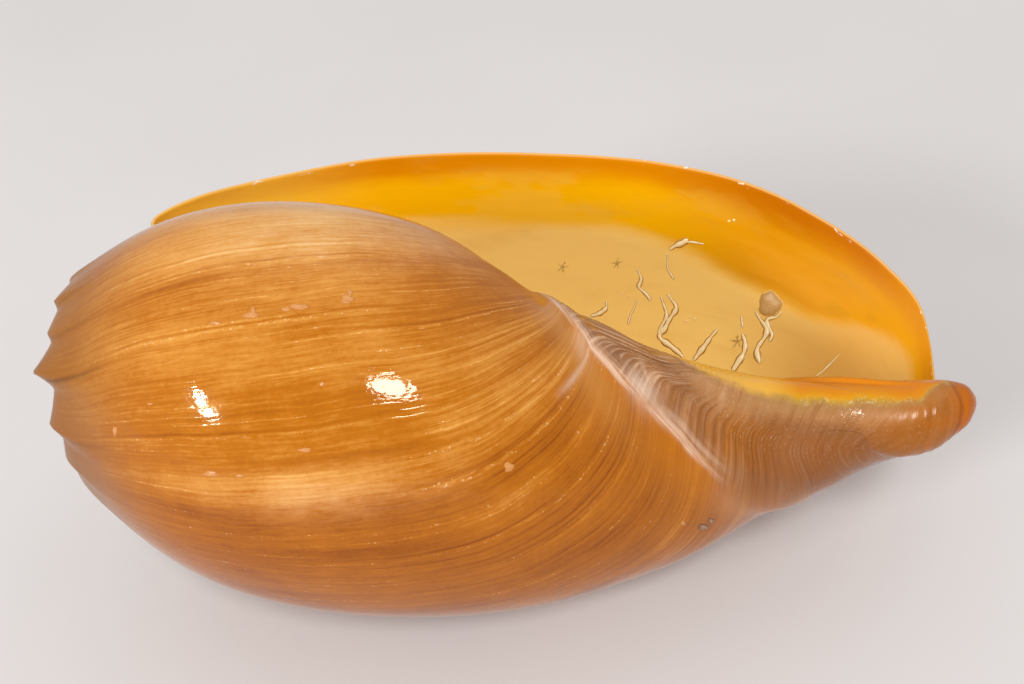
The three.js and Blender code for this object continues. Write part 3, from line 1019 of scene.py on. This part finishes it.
# Raised veins inside the mouth: photograph pixels along each, and width in pixels.
VEINS = [
    ([(606, 301), (606.5, 307), (603, 311), (598, 314), (590, 316)], 1.7),
    ([(637, 268), (640, 275), (641, 281), (639, 287), (645, 293), (651, 301)], 1.4),
    ([(668, 294), (671, 299), (676, 306), (674, 313), (669, 320), (665, 328), (660, 334),
      (661, 339), (668, 344), (678, 352), (683, 357)], 2.0),
    ([(661, 296), (663, 303), (666, 311), (666, 318), (661, 327), (658, 334)], 1.3),
    ([(718, 329), (711, 337), (706, 344), (700, 352), (693, 361)], 2.0),
    ([(741, 315), (742, 322), (743, 329)], 0.8),
    ([(742, 333), (745, 342), (744, 352), (739, 361), (732, 372)], 2.2),
    ([(756, 311), (760, 319), (766, 327), (766, 335), (760, 344), (757, 352), (760, 364)], 2.0),
    ([(781, 311), (776, 317), (768, 319), (768, 326), (772, 334), (769, 342)], 1.6),
    ([(669, 250), (675, 246), (682, 243), (688, 239)], 2.2),
    ([(684, 242), (691, 242), (698, 243), (704, 244)], 1.0),
    ([(668, 253), (667, 262), (669, 271), (675, 280)], 0.8),
    ([(636, 298), (635, 306), (631, 314), (628, 325)], 0.8),
    ([(840, 354), (832, 362), (824, 370), (815, 377)], 0.7),
]
# Half outline of a vein: across and up, as shares of its half width.
VEIN_SECTION = [
    (0, -0.9), (-1.0, -0.5), (-1.6, -0.1), (-1.3, 0.08), (-0.95, 0.14), (-0.8, 0.6),
    (-0.4, 0.95), (0.1, 1.0), (0.5, 0.85), (0.82, 0.55), (0.95, 0.12), (1.35, 0.07),
    (1.6, -0.1), (0.9, -0.5), (0, -0.9),
]
VEIN_MM_PER_PIXEL = 0.74
VEIN_FLATNESS = 0.6
VEIN_STEPS = 5
# Colours up a vein from its foot: the brown at the foot is partly a stain and partly painted shade.
VEIN_COLOURS = [(0.12, (0.46, 0.20, 0.02)), (0.26, (0.62, 0.34, 0.07)),
                (0.5, (0.95, 0.74, 0.34)), (0.9, (1.0, 0.82, 0.44))]
# Low pads, each by photograph pixel and half size in pixels.
BLISTER = [(770, 304, 12, 13)]
SCARS = [
    (347, 299, 7, 4.5), (350, 293, 2.2, 4.5), (299, 306.5, 10, 3), (286, 309, 5, 2.2),
    (251, 315, 8, 3.4), (253, 310, 2.2, 4), (215, 323, 7, 1.6), (509, 467, 5, 5),
    (115, 431, 2.2, 5), (322, 384, 2.4, 2.6), (305, 450, 7, 2.2), (210, 474, 8, 2.6),
    (683, 523, 2.2, 2.4), (240, 476, 5, 1.6), (150, 404, 3, 1.2),
]
BUBBLES = [
    (690, 317, 1.4, 1.2), (695, 319, 1.8, 1.5), (686, 321, 1.2, 1.0), (729, 221, 1.6, 1.4),
    (734, 220, 1.6, 1.4), (628, 296, 1.2, 1.0), (622, 294, 1.0, 1.0), (616, 268, 0.6, 0.6),
]
CHIPS = [(703, 527, 5.5, 3.0), (711, 521, 3, 3)]
PAD_SIDES = 28
PAD_RINGS = [0, 0.2, 0.4, 0.6, 0.75, 0.88, 0.96, 1.0, 1.03]
PAD_HEIGHTS = [1.0, 0.97, 0.9, 0.78, 0.62, 0.4, 0.2, 0.0, -0.35]
PAD_STOPS = (0.03, 0.35, 0.85)
# Each kind of pad: places, rise in metres, raggedness of the rim, wall, and its
# colours at the foot, half way up and on top.
PADS = {
    "brown_blister": (BLISTER, 0.0005, 0.07, INNER_WALL, (
        (0.88, 0.53, 0.11), (0.52, 0.28, 0.07), (0.66, 0.39, 0.13))),
    "pale_scars": (SCARS, 0.00018, 0.12, OUTER_WALL, (
        (0.47, 0.15, 0.006), (0.53, 0.19, 0.025), (0.62, 0.28, 0.09))),
    "pale_bubbles": (BUBBLES, 0.00025, 0.07, INNER_WALL, (
        (0.80, 0.42, 0.05), (0.90, 0.60, 0.2), (0.98, 0.78, 0.4))),
    "dark_chips": (CHIPS, 0.0003, 0.12, OUTER_WALL, (
        (0.16, 0.05, 0.008), (0.12, 0.045, 0.01), (0.42, 0.22, 0.10))),
}


def vein_points(path, width):
    """Rings of a half-sunk thread that follows the wall under the path."""
    course = SmoothCurve(np.arange(len(path)), path)
    end = len(path) - 1
    along = np.linspace(0, end, VEIN_STEPS * end + 1)
    hits = [on_wall(*course(at), INNER_WALL) for at in along]
    spots, normals = np.moveaxis(np.array(hits), 1, 0)
    side = np.cross(np.gradient(spots, axis=0), normals)
    side = side / np.linalg.norm(side, axis=1)[:, None]
    taper = np.minimum(np.clip(along / (0.35 * end), 0, 1) ** 0.6,
                       np.clip((end - along) * 3.0, 0, 1) ** 0.5)
    swell = 1 + 0.2 * np.sin(along * 2.3 + path[0][0]) + 0.16 * np.sin(along * 5.1)
    half = (width * 0.5 * MM * VEIN_MM_PER_PIXEL * swell * (0.15 + 0.85 * taper))[:, None]
    rings = [spots + side * half * across + normals * half * rise * VEIN_FLATNESS
             for across, rise in VEIN_SECTION]
    heights = [np.full(len(along), max(0.0, rise)) for _, rise in VEIN_SECTION]
    return np.stack(rings, 1), np.stack(heights, 1)


def pad_points(pad, rise, seed, ragged_share, wall):
    """Rings of a low pad on the wall, thickest in the middle, with a ragged rim."""
    px, py, half_width, half_height = pad
    points = np.zeros((len(PAD_RINGS), PAD_SIDES + 1, 3))
    heights = np.zeros(points.shape[:2])
    for i, (ring, share) in enumerate(zip(PAD_RINGS, PAD_HEIGHTS)):
        for j in range(PAD_SIDES + 1):
            turn = 2 * math.pi * (j % PAD_SIDES) / PAD_SIDES
            waves = (math.sin(3 * turn + seed) + 0.7 * math.sin(5 * turn + 2 * seed)
                     + 0.5 * math.sin(9 * turn + 3 * seed))
            reach = ring * (1 + ragged_share * waves)
            place, normal = on_wall(px + half_width * reach * math.cos(turn),
                                    py + half_height * reach * math.sin(turn), wall)
            dent = 1 - 0.3 * math.exp(-((ring * math.cos(turn + seed) + 0.3) / 0.3) ** 2)
            points[i, j] = place + normal * (rise * share * dent)
            heights[i, j] = max(0.0, share * dent)
    return points, heights


def paint_mark(name, stops, uneven, rough):
    """Colours up the sides of small marks, from the wall to their tops."""
    paint = Paint(name)
    grain = paint.grain(900.0)
    colour = paint.ramp(paint.tag("height") + (grain - 0.5) * uneven, stops)
    return paint.finish(colour, rough + grain * 0.1, {"Normal": paint.bump(grain, BUMP_MARK)})


def build_marks(name, sheets, material):
    """Small closed forms on the wall, all in one piece of the scene."""
    mesh = bmesh.new()
    mesh.verts.layers.float.new("height")
    for points, heights in sheets:
        verts, _ = grid_sheet(mesh, points, {"height": heights})
        bmesh.ops.remove_doubles(mesh, verts=verts, dist=MARK_MERGE_GAP)
    close_up(mesh)
    piece = put_in_scene(name, mesh, material)
    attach(piece, "root")


build_marks("cream_veins", [vein_points(*vein) for vein in VEINS],
            paint_mark("cream_vein", VEIN_COLOURS, 0.2, 0.2))
for name, (pads, rise, ragged, wall, colours) in PADS.items():
    sheets = [pad_points(pad, rise, number + 1.0, ragged, wall)
              for number, pad in enumerate(pads)]
    build_marks(name, sheets, paint_mark(name, list(zip(PAD_STOPS, colours)), 0.5, 0.24))

FLOOR_REACH = 4
FLOOR_WHITES = [(0.3, (0.66, 0.635, 0.63)), (0.7, (0.685, 0.66, 0.655))]
# Each lamp: photograph pixel of its reflection, the shell's face there, size, roll.
LAMPS = {
    "left_lamp": ((203, 407), (-0.135, -0.764, 0.631), (0.20, 0.85), 0.71),
    "right_lamp": ((388, 385), (0.191, -0.653, 0.733), (0.52, 0.78), 0.0),
}
LAMP_DISTANCE = 3.0
LAMP_POWER = 43.0
# World light from the horizon up to straight above.
SKY_RANGE = (-0.1, 1.0, 0.64, 0.76)
SKY_WHITE = (1.0, 0.985, 0.97)
# The room is darker behind the camera: where that begins and is full, and by how much.
DARK_SIDE = (0.45, 0.97)
DARK_DEPTH = 0.5


def build_floor():
    mesh = bmesh.new()
    bmesh.ops.create_grid(mesh, x_segments=2, y_segments=2, size=FLOOR_REACH)
    paint = Paint("pale_floor")
    colour = paint.ramp(paint.grain(6.0, 2.0, 0.55), FLOOR_WHITES)
    floor = put_in_scene("floor", mesh, paint.finish(colour, 0.9, {}))


def add_lamp(name, pixel, normal, size, roll):
    """A lamp that stands where its reflection shows at a pixel of the photograph."""
    spot = Vector(on_wall(*pixel, OUTER_WALL)[0])
    look = (spot - camera_place).normalized()
    normal = Vector(normal).normalized()
    lamp = bpy.data.lights.new(name, "AREA")
    lamp.shape = "ELLIPSE"
    lamp.size, lamp.size_y = size
    lamp.energy = LAMP_POWER
    body = bpy.data.objects.new(name, lamp)
    body.location = spot + (look - normal * 2 * look.dot(normal)) * LAMP_DISTANCE
    aim = (spot - body.location).to_track_quat("-Z", "Y").to_matrix()
    body.rotation_euler = (aim @ Matrix.Rotation(roll, 3, "Z")).to_euler()
    bpy.context.scene.collection.objects.link(body)


def build_sky():
    """Soft light all round, paler above and darker behind the camera."""
    paint = Paint("studio", "worlds")
    bpy.context.scene.world = paint.owner
    direction = paint.node("ShaderNodeTexCoord").outputs["Generated"]
    upward = paint.node("ShaderNodeSeparateXYZ", None, {0: direction}).outputs[2]
    shade = paint.node("ShaderNodeMapRange", None, dict(enumerate((upward, *SKY_RANGE))))
    facing = paint.node("ShaderNodeVectorMath", {"operation": "DOT_PRODUCT"},
                        {0: direction, 1: camera_axes @ Vector((0, 0, 1))})
    behind = Number(paint, facing.outputs["Value"]).rise(*DARK_SIDE)
    strength = Number(paint, shade.outputs[0]) * (1 - behind * DARK_DEPTH)
    light = paint.node("ShaderNodeBackground", None, {"Color": SKY_WHITE, "Strength": strength})
    paint.node("ShaderNodeOutputWorld", None, {"Surface": light.outputs[0]})


build_floor()
for name, lamp in LAMPS.items():
    add_lamp(name, *lamp)
build_sky()
bpy.context.scene.view_settings.view_transform = "Standard"
